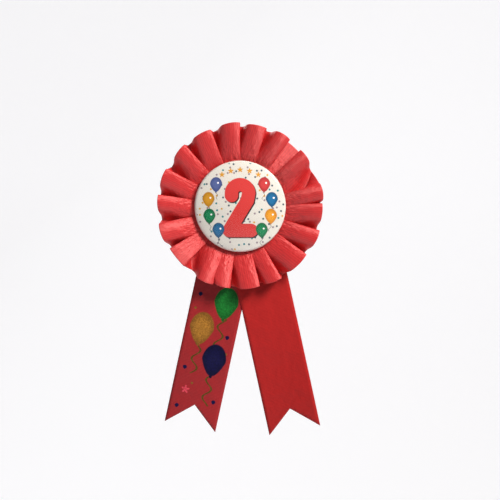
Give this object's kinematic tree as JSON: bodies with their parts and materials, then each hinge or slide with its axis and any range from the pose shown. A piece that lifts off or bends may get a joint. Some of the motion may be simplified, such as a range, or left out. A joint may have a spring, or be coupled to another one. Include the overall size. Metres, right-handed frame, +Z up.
{
  "type": "award ribbon",
  "caption": "Award ribbon worn as a badge: knife-pleated satin rosette, domed printed button, swallow-tailed hanging ribbons and a hinged bar pin with a turning catch behind.",
  "frame": {"origin": "middle of the pin stem at the back, where the ribbon is held when worn", "axes": "+Z up as worn, -Y out of the front of the button, +X to the right of someone looking at the front; the pin stem lies along X"},
  "size_m": [0.079, 0.015, 0.1504],
  "materials": {
    "pleat_satin": "glossy red polyester satin with a fine rib",
    "tail_satin": "red satin ribbon, low sheen",
    "printed_tail_satin": "red satin ribbon printed with plain balloons and dots",
    "film": "clear glossy polyester film",
    "print_paper": "printed coated paper",
    "tinplate": "bright tinplate",
    "back_plate": "plain tinplate, lightly brushed",
    "hot_glue": "set hot-melt glue",
    "thread": "red polyester sewing thread",
    "card": "white-faced greyboard",
    "staple_wire": "zinc-plated wire",
    "foam": "white foam tape",
    "nickel_plate": "nickel-plated pressed steel",
    "pin_wire": "nickel-plated spring wire"
  },
  "bodies": {
    "root": {"clear_film": "film", "artwork_disc": "print_paper", "button_shell": "tinplate", "button_back": "back_plate", "glue_dab": "hot_glue", "gathering_thread": "thread", "pleat_ring": "pleat_satin", "front_card": "card", "tail_staples": "staple_wire", "right_tail_top": "tail_satin", "left_tail_top": "printed_tail_satin", "back_card": "card", "foam_pad": "foam", "pin_base": "nickel_plate", "hinge_rivet": "nickel_plate"},
    "right_tail_body": {"right_tail": "tail_satin"},
    "left_tail_body": {"left_tail": "printed_tail_satin"},
    "stem": {"pin_stem": "pin_wire"},
    "roller": {"catch_roller": "nickel_plate"}
  },
  "joints": [
    {"name": "left_tail_swing", "type": "hinge", "parent": "root", "child": "left_tail_body", "pos_m": [-0.01145, -0.00435, -0.05518], "axis": [-0.977, 0, 0.213], "range_deg": [-60, 75]},
    {"name": "right_tail_swing", "type": "hinge", "parent": "root", "child": "right_tail_body", "pos_m": [0.01305, -0.00465, -0.05518], "axis": [-0.977, 0, -0.213], "range_deg": [-60, 75]},
    {"name": "pin_hinge", "type": "hinge", "parent": "root", "child": "stem", "pos_m": [0.012, 0, 0], "axis": [0, 0, -1], "range_deg": [0, 100]},
    {"name": "catch_turn", "type": "hinge", "parent": "root", "child": "roller", "pos_m": [-0.013, 0, 0], "axis": [-1, 0, 0], "range_deg": [0, 110]}
  ]
}
